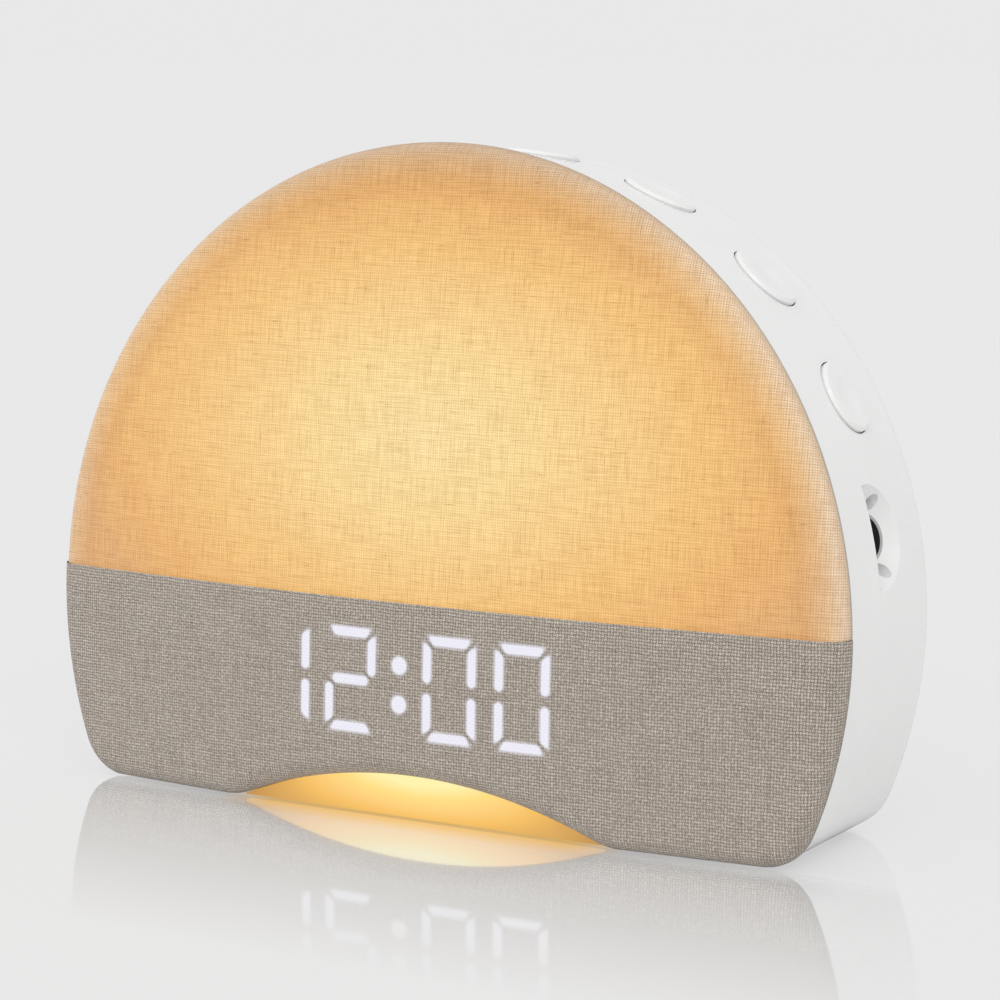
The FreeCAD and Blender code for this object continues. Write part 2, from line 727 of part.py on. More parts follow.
def side_cuts():
    """Room for the buttons, their strips and the power inlet."""
    cuts = [scoop_cut(), wall_rod(inlet_frames()[0], RIM_R + SEAT_GAP, -2 * RIM_R - WELL_LENGTH, 0)]
    cuts += inlet_rods(INLET_HOLE_R, INLET_PAD + INLET_SCREW_SEAT, 2)
    cuts += inlet_rods(SMALL_R + CLEAR, INLET_PAD - FLANGE_PLATE_T, 0)
    for angles in button_angles():
        cuts.append(strip(angles, BRACKET_W / 2 + CLEAR / 2, PAD_TOP - BOARD_T + CLEAR / 2,
                          BRACKET_T + CLEAR))
        cuts.append(strip(angles, STRIP_BOARD_W / 2 + CLEAR, PAD_TOP + CLEAR, BOARD_T + CLEAR))
        for deg in angles:
            place = wall_frame(deg, BUTTON_DEPTH)
            deep = COLLAR_FLOOR - WALL
            cuts.append(wall_rod(place, BUTTON_R + BUTTON_GAP, deep, 2 * BUTTON_PROUD))
            cuts.append(wall_rod(place, FLANGE_R + FLANGE_GAP, deep, FLANGE_TOP + CLEAR))
    return cuts


def rear_cuts():
    """Screw wells, speaker seat, grille and pilot holes."""
    h0 = SPEAKER_H - CENTRE_H
    cuts = [rod(0, h0, DEPTH - 2 * WALL - 1, DEPTH - WALL, SPEAKER_R + CLEAR)]
    cuts += [rod(x, h0 + z, DEPTH - WALL - 1, DEPTH + 1, GRILLE_HOLE_R)
             for x, z in grille_places()]
    for x, h in boss_places():
        cuts.append(rod(x, h, BOSS_FRONT + SCREW_SEAT, DEPTH + 2, SCREW_WELL_R))
        cuts.append(rod(x, h, BOSS_FRONT - 1, DEPTH, PILOT_R + 2 * CLEAR))
    cuts += [rod(x, h, MAIN_S, MAIN_S + SMALL_L + 1, SMALL_R) for x, h in board_screw_places()]
    cuts += [rod(x, h, TRAY_DEPTH - 1, TRAY_DEPTH + SMALL_L, SMALL_R) for x, h in TRAY_SCREWS]
    cuts += [Part.makeCylinder(FOOT_R + CLEAR, FOOT_T - FOOT_PROUD, V(x, y, 0))
             for x, y in foot_places()]
    return cuts


def build_housing():
    outer, shell = housing_shell()
    whole = shell.fuse(housing_posts()).common(outer)
    parts["rear_housing"] = whole.cut(side_cuts() + rear_cuts())


# Light chamber
def segment_wire(radius, low, s):
    """Upper part of a disc, cut off level at the given height."""
    h = low - CENTRE_H
    x = math.sqrt(radius ** 2 - h ** 2)
    turn = math.degrees(math.atan2(h, x))
    top = arc(0, 0, radius, turn, 180 - turn, s)
    chord = line(-x, h, x, h, s)
    return closed_wire([top, chord])


def tray_loft(inset, s0, s1):
    """Tapering chamber, drawn in the leaning stack."""
    wires = []
    for s in (s0, s1):
        share = (s - FRAME_T) / (TRAY_DEPTH - FRAME_T)
        radius = TRAY_R + (TRAY_REAR_R - TRAY_R) * share - inset
        low = TRAY_LOW + (TRAY_REAR_LOW - TRAY_LOW) * share + inset
        wires.append(segment_wire(radius, low, s))
    return lean(Part.makeLoft(wires, True, True))


LIGHT_S = TRAY_DEPTH - TRAY_WALL


def build_tray():
    outer = tray_loft(0, FRAME_T, TRAY_DEPTH)
    hollow = tray_loft(TRAY_WALL, FRAME_T - 1, TRAY_DEPTH - TRAY_WALL)
    holes = [rod(x, h, FRAME_T, TRAY_DEPTH + 2, SMALL_R + 2 * CLEAR) for x, h in TRAY_SCREWS]
    parts["reflector_tray"] = outer.cut([hollow] + holes)
    face = LIGHT_S - LIGHT_BOARD_T
    board = Part.Face(segment_wire(LIGHT_BOARD_R, LIGHT_BOARD_LOW, face))
    parts["light_board"] = lean(board.extrude(V(0, LIGHT_BOARD_T, 0))).cut(holes)
    places = []
    for row in range(4):
        h = LIGHT_BOARD_LOW - CENTRE_H + (row + 0.7) * LED_ROW
        for column in range(-4, 5):
            x = (column + (row % 2) / 2) * LED_PITCH
            clear = all(math.hypot(x - sx, h - sh) > LED_ROW / 2 for sx, sh in TRAY_SCREWS)
            if clear and math.hypot(x, h) < LIGHT_BOARD_R - WARM_LED[0]:
                places.append((x, h))
    parts["light_leds"] = warm_leds(places, face)
    parts["tray_screws"] = small_screws(TRAY_SCREWS, face, SMALL_L)


# Main board with what stands on it
def board_screw_places():
    return [(x, z - CENTRE_H) for x in (MAIN_X[0] + 3, MAIN_X[1] - 6)
            for z in (MAIN_Z[0] + 4, MAIN_Z[1] - 3)]


def on_board(x0, x1, z0, z1, tall):
    """Box on the front of the main board, z measured from its lower edge."""
    low = MAIN_Z[0] - CENTRE_H
    return box(x0, x1, MAIN_S - tall, MAIN_S, low + z0, low + z1)


def can(x, z, radius, tall):
    return rod(x, MAIN_Z[0] - CENTRE_H + z, MAIN_S - tall, MAIN_S, radius)


def connector(x):
    """Open-topped socket for a flat cable or a pair of wires."""
    low = MAIN_Z[0] - CENTRE_H
    pocket = box(x - 2.8, x + 2.8, MAIN_S - 6, MAIN_S - 1, low + 25.8, low + 29.2)
    return on_board(x - 3.6, x + 3.6, 25, 30, 5).cut(pocket)


def build_main_board():
    board = box(MAIN_X[0], MAIN_X[1], MAIN_S, MAIN_S + BOARD_THICK,
                MAIN_Z[0] - CENTRE_H, MAIN_Z[1] - CENTRE_H)
    parts["main_board"] = board.cut([rod(x, h, MAIN_S - 1, MAIN_S + 3, SMALL_R + 2 * CLEAR)
                                     for x, h in board_screw_places()])
    parts["board_chips"] = group([on_board(46, 56, 5, 15, 1.4), on_board(44, 49, 19, 23, 1.2),
                                  on_board(59, 65, 10, 14, 1.2)])
    parts["board_capacitors"] = group([can(36, 6, 3.1, 8), can(36, 14, 3.1, 8),
                                       can(57, 21, 2.5, 6)])
    parts["board_connectors"] = group([connector(x) for x in (34, 44, 54)])
    parts["board_screws"] = small_screws(board_screw_places(), MAIN_S, SMALL_L)


def build_backup_cell():
    """Coin cell in a round holder on the rear wall, beside the speaker."""
    h = CELL_Z - CENTRE_H
    floor = DEPTH - WALL - 1.4
    front = floor - CELL_T - 0.6
    holder = rod(CELL_X, h, front, DEPTH - WALL, CELL_R + 1.8)
    parts["cell_holder"] = holder.cut(rod(CELL_X, h, front - 1, floor, CELL_R + CLEAR))
    parts["backup_cell"] = rod(CELL_X, h, floor - CELL_T, floor, CELL_R)


def speaker_turned(points):
    """Ring-shaped piece of the speaker, turned from its section."""
    corners = [V(r, s, 0) for r, s in points]
    face = Part.Face(Part.makePolygon(corners + corners[:1]))
    solid = face.revolve(V(0, 0, 0), V(0, 1, 0), 360)
    solid.translate(V(0, 0, SPEAKER_H - CENTRE_H))
    return lean(solid)


def build_speaker():
    """Gasket, pressed basket, paper cone and magnet, from the rear wall."""
    seat = DEPTH - WALL
    front = seat - GASKET_T
    deep = front - BASKET_DEEP
    inner = SPEAKER_R - SPEAKER_RIM
    parts["speaker_gasket"] = speaker_turned([(SPEAKER_R - 2, seat), (SPEAKER_R, seat),
                                              (SPEAKER_R, front), (SPEAKER_R - 2, front)])
    parts["speaker_basket"] = speaker_turned([
        (inner, front), (SPEAKER_R, front), (SPEAKER_R, front - 1.2),
        (inner + 1, front - 1.2), (MAGNET_R + 1, deep), (4.2, deep), (4.2, deep + 1),
        (MAGNET_R, deep + 1), (inner, front - 1.2)])
    parts["speaker_cone"] = speaker_turned([
        (inner, front - 0.2), (inner - 1, front - 0.2), (5, front - 4.4),
        (0, front - 3.2), (0, front - 3.8), (5, front - 5), (inner - 0.8, front - 0.8),
        (inner, front - 0.8)])
    parts["speaker_magnet"] = speaker_turned([
        (0, deep), (MAGNET_R, deep), (MAGNET_R, deep - MAGNET_T + 0.6),
        (MAGNET_R - 0.6, deep - MAGNET_T), (0, deep - MAGNET_T)])


def build_screws():
    """Housing screws with crossed slots, in their wells."""
    seat = BOSS_FRONT + SCREW_SEAT
    thick = 1.8
    half = 1.5
    screws = []
    for x, h in boss_places():
        head = rod(x, h, seat, seat + thick, SCREW_WELL_R - 0.3)
        shank = rod(x, h, POST_FLOOR + 1.5, seat, PILOT_R)
        cross = box(x - half, x + half, seat + thick / 2, seat + 2 * thick,
                    h - SLOT_W / 2, h + SLOT_W / 2)
        upright = box(x - SLOT_W / 2, x + SLOT_W / 2, seat + thick / 2, seat + 2 * thick,
                      h - half, h + half)
        screws.append(head.fuse(shank).cut([cross, upright]))
    parts["housing_screws"] = group(screws)


def foot_places():
    return [(x, y) for x in (-FOOT_X, FOOT_X) for y in FOOT_Y]


def build_feet():
    feet = []
    for x, y in foot_places():
        pad = Part.makeCylinder(FOOT_R, FOOT_T, V(x, y, -FOOT_PROUD))
        low = [edge for edge in pad.Edges if edge.BoundBox.ZMax < 0]
        feet.append(pad.makeChamfer(FOOT_BEVEL, low))
    parts["rubber_feet"] = group(feet)


def build_ribbon():
    """Flat cable from the display board to the main board, with one S-bend."""
    start = BLOCK_BACK + BOARD_THICK + SEAT_GAP
    end = MAIN_S - 1 - SEAT_GAP
    x0, x1 = RIBBON_X, RIBBON_X + 2 * RIBBON_TURN
    bend = (start + end) / 2 - RIBBON_TURN
    across = (start + end) / 2
    unbend = across + RIBBON_TURN
    turned = RIBBON_TURN * (1 - math.sqrt(0.5))
    runs = [Part.makeLine(V(x0, start, 0), V(x0, bend, 0)),
            Part.Arc(V(x0, bend, 0), V(x0 + turned, across - turned, 0),
                     V(x0 + RIBBON_TURN, across, 0)).toShape(),
            Part.Arc(V(x1 - RIBBON_TURN, across, 0), V(x1 - turned, across + turned, 0),
                     V(x1, unbend, 0)).toShape(),
            Part.makeLine(V(x1, unbend, 0), V(x1, end, 0))]
    half_t, half_w = RIBBON_T / 2, RIBBON_W / 2
    corners = [(-half_t, -half_w), (half_t, -half_w), (half_t, half_w), (-half_t, half_w)]
    section = Part.makePolygon([V(x0 + x, start, z) for x, z in corners + corners[:1]])
    ribbon = Part.Wire(runs).makePipeShell([section], True, True)
    ribbon.translate(V(0, 0, MAIN_Z[0] + 27.5 - CENTRE_H))
    parts["display_ribbon"] = lean(ribbon)


def main():
    middle, inner = build_front()
    build_display(middle, inner)
    build_night_light()
    build_frame()
    build_buttons()
    build_inlet()
    build_housing()
    build_tray()
    build_main_board()
    build_backup_cell()
    build_speaker()
    build_screws()
    build_feet()
    build_ribbon()
    # The origin goes to the middle of the box's lower face
    whole = Part.makeCompound(list(parts.values())).optimalBoundingBox(False, False)
    shift = V(0, -(whole.YMin + whole.YMax) / 2, FOOT_PROUD)
    os.makedirs("parts", exist_ok=True)
    for name, shape in parts.items():
        shape.translate(shift)
        shape.exportStep("parts/%s.step" % name)
    print("moved back by", round(shift.y, 4))
    for angles in button_angles():
        for deg in angles:
            out = wall_point(deg, BUTTON_DEPTH)[1]
            print("button", round(deg, 2), [round(value, 5) for value in out])


main()
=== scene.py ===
import json
import math
import bpy
from mathutils import Matrix, Vector


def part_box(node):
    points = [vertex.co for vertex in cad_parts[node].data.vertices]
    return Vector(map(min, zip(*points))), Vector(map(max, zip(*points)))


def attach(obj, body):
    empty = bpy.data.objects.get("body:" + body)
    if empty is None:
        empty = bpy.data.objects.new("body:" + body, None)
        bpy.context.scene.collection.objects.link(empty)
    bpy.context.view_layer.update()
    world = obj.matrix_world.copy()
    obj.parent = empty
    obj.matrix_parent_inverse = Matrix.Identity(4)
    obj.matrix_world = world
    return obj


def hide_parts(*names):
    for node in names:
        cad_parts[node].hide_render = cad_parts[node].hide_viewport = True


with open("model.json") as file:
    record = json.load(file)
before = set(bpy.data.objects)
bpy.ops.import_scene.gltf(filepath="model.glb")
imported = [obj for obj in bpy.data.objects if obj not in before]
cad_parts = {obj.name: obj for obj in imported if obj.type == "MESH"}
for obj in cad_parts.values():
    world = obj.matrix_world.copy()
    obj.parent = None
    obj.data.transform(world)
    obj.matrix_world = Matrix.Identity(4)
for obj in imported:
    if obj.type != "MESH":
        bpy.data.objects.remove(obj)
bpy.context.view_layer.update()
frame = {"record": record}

MM = 0.001

# The clock's driving sizes in millimetres. y counts backwards from the plane
# where the covers meet the frame, z upwards from the base.
BODY_R = 100.0
CENTRE_H = 44.3
CORNER_R = 11.6
LEAN = math.radians(2.6)
ARCH_HALF = 52.0
ARCH_H = 10.0
ARCH_BLEND = 20.0
RIM_DEPTH = 3.9
BULGE = 6.4
EDGE_R = 3.6
HEM_PROUD = 0.4
SEAM_H = 47.4

# The display: digits, bars and the two dots, in millimetres
DIGIT_H = 20.6
DIGIT_W = 11.2
BAR_T = 2.15
BAR_GAP = 1.0
DIGIT_AT = (-32.0, -14.3, 11.2, 29.1)
DIGITS = ("bc", "abged", "abcdef", "abcdef")
DISPLAY_H = 29.75
COLON_X = -1.5
DOT_R = 1.95
DOT_SPACING = 8.4

# Boxes of the frame and of the upper cover, whose edges the visual covers keep
trim_low, trim_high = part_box("front_frame")
cover_low, cover_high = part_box("upper_fabric")

# Where the drawing lies in the frame, whose origin is the middle of the
# clock's lower face: the feet's height and the shift backwards
FOOT = 0.6
BACK_SHIFT = -19.984

# The dome of the covers is part of a sphere: its radius and middle
DOME_R = (BODY_R ** 2 + BULGE ** 2) / (2 * BULGE)
DOME_Y = (DOME_R - RIM_DEPTH - BULGE) * math.cos(LEAN)
DOME_Z = CENTRE_H - (DOME_R - RIM_DEPTH - BULGE) * math.sin(LEAN)


def place(x, y, z):
    """Millimetres from the clock's own drawing to metres in the frame."""
    return Vector((x * MM, (y + BACK_SHIFT) * MM, (max(z, 0.0) + FOOT) * MM))


def dome_y(x, z, proud=0.0):
    """Depth of the domed face at a point, or of a face that stands proud."""
    r = DOME_R + proud
    return DOME_Y - math.sqrt(r * r - x * x - (z - DOME_Z) ** 2)


def rim_y(z):
    """Depth of the leaning plane in which the covers end."""
    return (z - CENTRE_H) * math.tan(LEAN)


# Small helpers for meshes
def new_object(name, verts, faces, smooth=True):
    mesh = bpy.data.meshes.new(name)
    mesh.from_pydata([tuple(v) for v in verts], [], faces)
    mesh.update()
    if smooth:
        mesh.polygons.foreach_set("use_smooth", [True] * len(mesh.polygons))
    obj = bpy.data.objects.new(name, mesh)
    bpy.context.scene.collection.objects.link(obj)
    return obj


def set_uv(obj, coords):
    """Cloth coordinate of every vertex, in metres on the flat cut."""
    layer = obj.data.uv_layers.new(name="cloth")
    for loop in obj.data.loops:
        layer.data[loop.index].uv = coords[loop.vertex_index]


def set_value(obj, name, values):
    layer = obj.data.attributes.new(name, "FLOAT", "POINT")
    layer.data.foreach_set("value", values)


# Outline of the body as points with their outward direction
def arc_points(cx, cz, r, start, end, sign=1.0, step=1.2):
    """Points on an arc, from angle to angle in degrees."""
    count = max(2, int(abs(math.radians(end - start)) * r / step))
    points = []
    for i in range(count + 1):
        a = math.radians(start + (end - start) * i / count)
        n = (math.cos(a), math.sin(a))
        points.append((cx + r * n[0], cz + r * n[1], sign * n[0], sign * n[1]))
    return points


def line_points(x0, x1, z, step=1.5):
    """Points on a level line whose outward direction is down."""
    count = max(2, int(abs(x1 - x0) / step))
    return [(x0 + (x1 - x0) * i / count, z, 0.0, -1.0) for i in range(count + 1)]


def without_doubles(points, least=0.05):
    """The path without points that lie on the one before them."""
    kept = [points[0]]
    for p in points[1:]:
        if math.hypot(p[0] - kept[-1][0], p[1] - kept[-1][1]) > least:
            kept.append(p)
    return kept


def corner():
    """Middle of the lower corner's arc, and the angle where it begins."""
    xc = math.sqrt((BODY_R - CORNER_R) ** 2 - (CENTRE_H - CORNER_R) ** 2)
    low = math.degrees(math.atan2(CORNER_R - CENTRE_H, xc))
    return xc, low


def seam_angle():
    return math.degrees(math.asin((SEAM_H - CENTRE_H) / BODY_R))


def upper_path():
    """Over the top, from the seam on the right to the seam on the left."""
    start = seam_angle()
    return arc_points(0, CENTRE_H, BODY_R, start, 180 - start)


def lower_path():
    """From the seam on the left, down and along the base, to the right."""
    xc, low = corner()
    start = seam_angle()
    reach = (ARCH_HALF ** 2 / ARCH_H + ARCH_H) / 2
    big = reach - ARCH_BLEND
    turn = math.degrees(math.atan2(ARCH_BLEND - ARCH_H + big, ARCH_HALF))
    points = arc_points(0, CENTRE_H, BODY_R, 180 - start, 180 - low)
    points += arc_points(-xc, CORNER_R, CORNER_R, 180 - low, 270, step=0.8)
    points += line_points(-xc, -ARCH_HALF, 0)
    points += arc_points(-ARCH_HALF, ARCH_BLEND, ARCH_BLEND, 270, 360 - turn, step=0.8)
    points += arc_points(0, ARCH_H - big, big, 180 - turn, turn, sign=-1.0)
    points += arc_points(ARCH_HALF, ARCH_BLEND, ARCH_BLEND, 180 + turn, 270, step=0.8)
    points += line_points(ARCH_HALF, xc, 0)
    points += arc_points(xc, CORNER_R, CORNER_R, 270, 360 + low, step=0.8)
    points += arc_points(0, CENTRE_H, BODY_R, low, start)
    return without_doubles(points)


# Steps of the covers' mesh: round the rolled rim, from rim to hub, along the seam
ROLL_STEPS = 8
FACE_STEPS = 26
SEAM_STEPS = 40
# The tucked edge turns in behind the rim: insets and depths in millimetres
TUCK_BACK = 0.05
TUCK_NEAR = 0.25
HEM_TURN = 0.5      # how deep the cut edge along the seam turns in
# Cloth that the rolled rim takes up beyond the plane of the frame
RIM_WRAP = 4.2


def cover_mesh(name, path, proud, centre, tuck):
    """Cover over the dome: tucked edge, rolled rim and domed face.

    The rim follows the path, which is open along the seam, and the face runs
    in rings towards the centre. The cloth coordinate is the flat cut, so that
    threads bend round the rim.
    """
    roll = EDGE_R + proud
    verts, uvs = [], []
    n = len(path)
    rim = [(x + nx * proud, z + nz * proud, nx, nz) for x, z, nx, nz in path]
    for inset, back in ((tuck, -TUCK_BACK), (TUCK_NEAR, -TUCK_BACK), (0.0, TUCK_NEAR)):
        for px, pz, nx, nz in rim:
            qx, qz = px - nx * inset, pz - nz * inset
            verts.append(place(qx, rim_y(qz) - back, qz))
            out = roll * (math.pi / 2 - 1) + RIM_WRAP + inset - back
            uvs.append(((px + nx * out) * MM, (pz + nz * out) * MM))
    # The rim rolls over to the face
    for i in range(ROLL_STEPS + 1):
        turn = i / ROLL_STEPS * math.pi / 2
        for px, pz, nx, nz in rim:
            ax, az = px - nx * roll, pz - nz * roll
            inset = roll * (1 - math.cos(turn))
            qx, qz = px - nx * inset, pz - nz * inset
            y = dome_y(ax, az, proud) + roll * (1 - math.sin(turn))
            verts.append(place(qx, y, qz))
            out = roll * (math.pi / 2 - turn) - roll
            uvs.append(((px + nx * out) * MM, (pz + nz * out) * MM))
    # The face runs inwards in rings
    for k in range(1, FACE_STEPS):
        share = 1 - k / FACE_STEPS
        for px, pz, nx, nz in rim:
            ax, az = px - nx * roll, pz - nz * roll
            qx = centre[0] + (ax - centre[0]) * share
            qz = centre[1] + (az - centre[1]) * share
            verts.append(place(qx, dome_y(qx, qz, proud), qz))
            uvs.append((qx * MM, qz * MM))
    rings = len(verts) // n
    faces = []
    for r in range(rings - 1):
        for i in range(n - 1):
            a, b = r * n + i, r * n + i + 1
            faces.append((a, b, b + n, a + n))
    # Each ring of the face is open at the seam, and a line across closes it
    grid = []
    for row in range(rings - FACE_STEPS, rings):
        left, right = row * n, row * n + n - 1
        x0, x1 = verts[left], verts[right]
        line = [left]
        for j in range(1, SEAM_STEPS):
            qx = (x0.x + (x1.x - x0.x) * j / SEAM_STEPS) / MM
            qz = (x0.z + (x1.z - x0.z) * j / SEAM_STEPS) / MM - FOOT
            verts.append(place(qx, dome_y(qx, qz, proud), qz))
            uvs.append((qx * MM, qz * MM))
            line.append(len(verts) - 1)
        line.append(right)
        grid.append(line)
    for upper, lower in zip(grid, grid[1:]):
        for j in range(SEAM_STEPS):
            faces.append((upper[j + 1], upper[j], lower[j], lower[j + 1]))
    # The hub closes the innermost ring
    hub_x, hub_z = centre
    verts.append(place(hub_x, dome_y(hub_x, hub_z, proud), hub_z))
    uvs.append((hub_x * MM, hub_z * MM))
    hub = len(verts) - 1
    last = (rings - 1) * n
    for i in range(n - 1):
        faces.append((last + i, last + i + 1, hub))
    for j in range(SEAM_STEPS):
        faces.append((grid[-1][j + 1], grid[-1][j], hub))
    # The cut edge along the seam turns in
    edge = grid[0]
    turned = []
    for index in edge:
        v = verts[index]
        verts.append(Vector((v.x, v.y + (HEM_TURN + proud) * MM, v.z)))
        uvs.append(uvs[index])
        turned.append(len(verts) - 1)
    for j in range(SEAM_STEPS):
        faces.append((edge[j], edge[j + 1], turned[j + 1], turned[j]))
    obj = new_object(name, verts, faces)
    set_uv(obj, uvs)
    return obj


# The two cloths: spacing of their threads and how far they wander, in metres
LINEN_PITCH, LINEN_WANDER = 0.00056, 0.0004
WEAVE_PITCH, WEAVE_WANDER = 0.00066, 0.0006
WANDER_SCALE = 160.0

WHITE, BLACK = (1.0, 1.0, 1.0), (0.0, 0.0, 0.0)


# Material helpers
def material(name):
    mat = bpy.data.materials.new(name)
    mat.use_nodes = True
    tree = mat.node_tree
    bsdf = tree.nodes["Principled BSDF"]
    return mat, tree, bsdf


def math_node(tree, op, a, b=None):
    made = tree.nodes.new("ShaderNodeMath")
    made.operation = op
    for index, value in enumerate((a, b)):
        if value is None:
            continue
        if isinstance(value, (int, float)):
            made.inputs[index].default_value = value
        else:
            tree.links.new(value, made.inputs[index])
    return made.outputs[0]


def mix_colour(tree, fac, a, b, blend="MIX"):
    made = tree.nodes.new("ShaderNodeMix")
    made.data_type = "RGBA"
    made.blend_type = blend
    for socket, value in ((made.inputs[0], fac), (made.inputs[6], a), (made.inputs[7], b)):
        if isinstance(value, (int, float)):
            socket.default_value = value
        elif isinstance(value, tuple):
            socket.default_value = value + (1.0,) if len(value) == 3 else value
        else:
            tree.links.new(value, socket)
    return made.outputs[2]


def multiplied(tree, a, b):
    return mix_colour(tree, 1.0, a, b, "MULTIPLY")


def ramp(tree, value, stops):
    """Colour ramp with (position, colour) stops."""
    made = tree.nodes.new("ShaderNodeValToRGB")
    band = made.color_ramp
    while len(band.elements) < len(stops):
        band.elements.new(0.5)
    for element, (position, colour) in zip(band.elements, stops):
        element.position = position
        element.color = colour + (1.0,) if len(colour) == 3 else colour
    tree.links.new(value, made.inputs[0])
    return made.outputs[0]


def noise(tree, vector, scale, detail=2.0, rough=0.5):
    made = tree.nodes.new("ShaderNodeTexNoise")
    made.inputs["Scale"].default_value = scale
    made.inputs["Detail"].default_value = detail
    made.inputs["Roughness"].default_value = rough
    tree.links.new(vector, made.inputs["Vector"])
    return made.outputs[0]


def stretched(tree, vector, sx, sy, sz=1.0):
    made = tree.nodes.new("ShaderNodeMapping")
    made.inputs["Scale"].default_value = (sx, sy, sz)
    tree.links.new(vector, made.inputs["Vector"])
    return made.outputs[0]


def bump(tree, height, strength, distance):
    made = tree.nodes.new("ShaderNodeBump")
    made.inputs["Strength"].default_value = strength
    made.inputs["Distance"].default_value = distance
    tree.links.new(height, made.inputs["Height"])
    return made.outputs[0]


def object_coordinates(tree):
    return tree.nodes.new("ShaderNodeTexCoord").outputs["Object"]


def separated(tree, vector):
    made = tree.nodes.new("ShaderNodeSeparateXYZ")
    tree.links.new(vector, made.inputs[0])
    return made.outputs


def cloth_coordinates(tree):
    uv = tree.nodes.new("ShaderNodeUVMap")
    uv.uv_map = "cloth"
    split = separated(tree, uv.outputs[0])
    return uv.outputs[0], split[0], split[1]


def weave(tree, uv, u, v, pitch, wander):
    """Height of a plain weave whose threads go over and under by turns."""
    wobble = noise(tree, uv, WANDER_SCALE, 1.0)
    shift = math_node(tree, "MULTIPLY", math_node(tree, "SUBTRACT", wobble, 0.5), wander)
    us = math_node(tree, "MULTIPLY", math_node(tree, "ADD", u, shift), math.pi / pitch)
    vs = math_node(tree, "MULTIPLY", math_node(tree, "ADD", v, shift), math.pi / pitch)
    su = math_node(tree, "SINE", us)
    sv = math_node(tree, "SINE", vs)
    # 1 where the warp lies on top, 0 where the weft does
    over = math_node(tree, "SIGN", math_node(tree, "MULTIPLY", su, sv))
    over = math_node(tree, "ADD", math_node(tree, "MULTIPLY", over, 0.5), 0.5)
    under = math_node(tree, "SUBTRACT", 1.0, over)
    warp = math_node(tree, "MULTIPLY", math_node(tree, "ABSOLUTE", su), over)
    weft = math_node(tree, "MULTIPLY", math_node(tree, "ABSOLUTE", sv), under)
    return math_node(tree, "ADD", warp, weft)


def distance(tree, a, b):
    """Length of the vector (a, b)."""
    return math_node(tree, "SQRT", math_node(
        tree, "ADD", math_node(tree, "MULTIPLY", a, a), math_node(tree, "MULTIPLY", b, b)))


def dashes(tree, uv, long, thin, low, high, dark):
    """Short darker lengths of uneven yarn, in both directions."""
    shade = None
    for scale in ((long, thin), (thin, long)):
        value = noise(tree, stretched(tree, uv, *scale), 1.0, 3.0, 0.65)
        band = ramp(tree, value, [(low, dark), (high, WHITE)])
        shade = band if shade is None else multiplied(tree, shade, band)
    return shade


# The lamp's glow on the flat cut: its middle and reach in metres, and its
# colours from the middle outwards
GLOW_X, GLOW_Z = 0.002, 0.0835
GLOW_REACH_X, GLOW_REACH_Z = 0.101, 0.060
GLOW_COLOURS = [(0.0, (0.91, 0.715, 0.345)), (0.3, (0.90, 0.66, 0.275)),
                (0.62, (0.86, 0.52, 0.165)), (0.86, (0.78, 0.41, 0.115)),
                (1.0, (0.71, 0.37, 0.13))]
GLOW_STRENGTH = 0.975
CLOUD_SCALE, CLOUD_SHARE = 45.0, 0.08       # unevenness of the glow
# Slubs and finer yarn: two noise scales, two limits and the darkest tone
LINEN_SLUBS = (170.0, 2600.0, 0.27, 0.36, (0.64, 0.52, 0.40))
LINEN_YARN = (120.0, 2400.0, 0.32, 0.58, (0.86, 0.81, 0.75))
# Tone from the gaps to the crowns of the threads, lit from behind and plain: the darker gaps are
# painted shade and the brighter crowns a painted highlight
LINEN_GAPS = [(0.0, (0.84, 0.81, 0.76)), (0.9, (1.06, 1.06, 1.06))]
LINEN_GAP_SHADE = [(0.0, (0.68, 0.65, 0.61)), (0.8, (1.06, 1.06, 1.06))]
# The band at the rim where the lamp no longer reaches, in millimetres from the
# body's middle: how the glow dims and how the plain cloth comes up
RIM_START, RIM_END = BODY_R - 12.0, BODY_R + 2.0
RIM_DIMMING = [(0.0, WHITE), (0.35, (0.91, 0.90, 0.92)),
               (0.62, (0.68, 0.72, 0.85)), (0.8, (0.36, 0.42, 0.70)),
               (1.0, (0.16, 0.20, 0.40))]
RIM_CLOTH = [(0.3, (0.13, 0.11, 0.08)), (0.62, (0.35, 0.29, 0.21)),
             (0.85, (0.65, 0.53, 0.40))]
# The upper rim faces the light above and would look too pale without this
TOP_SHADE = [(0.70, WHITE), (0.88, (0.70, 0.66, 0.62))]
TOP_SCALE = 6.0


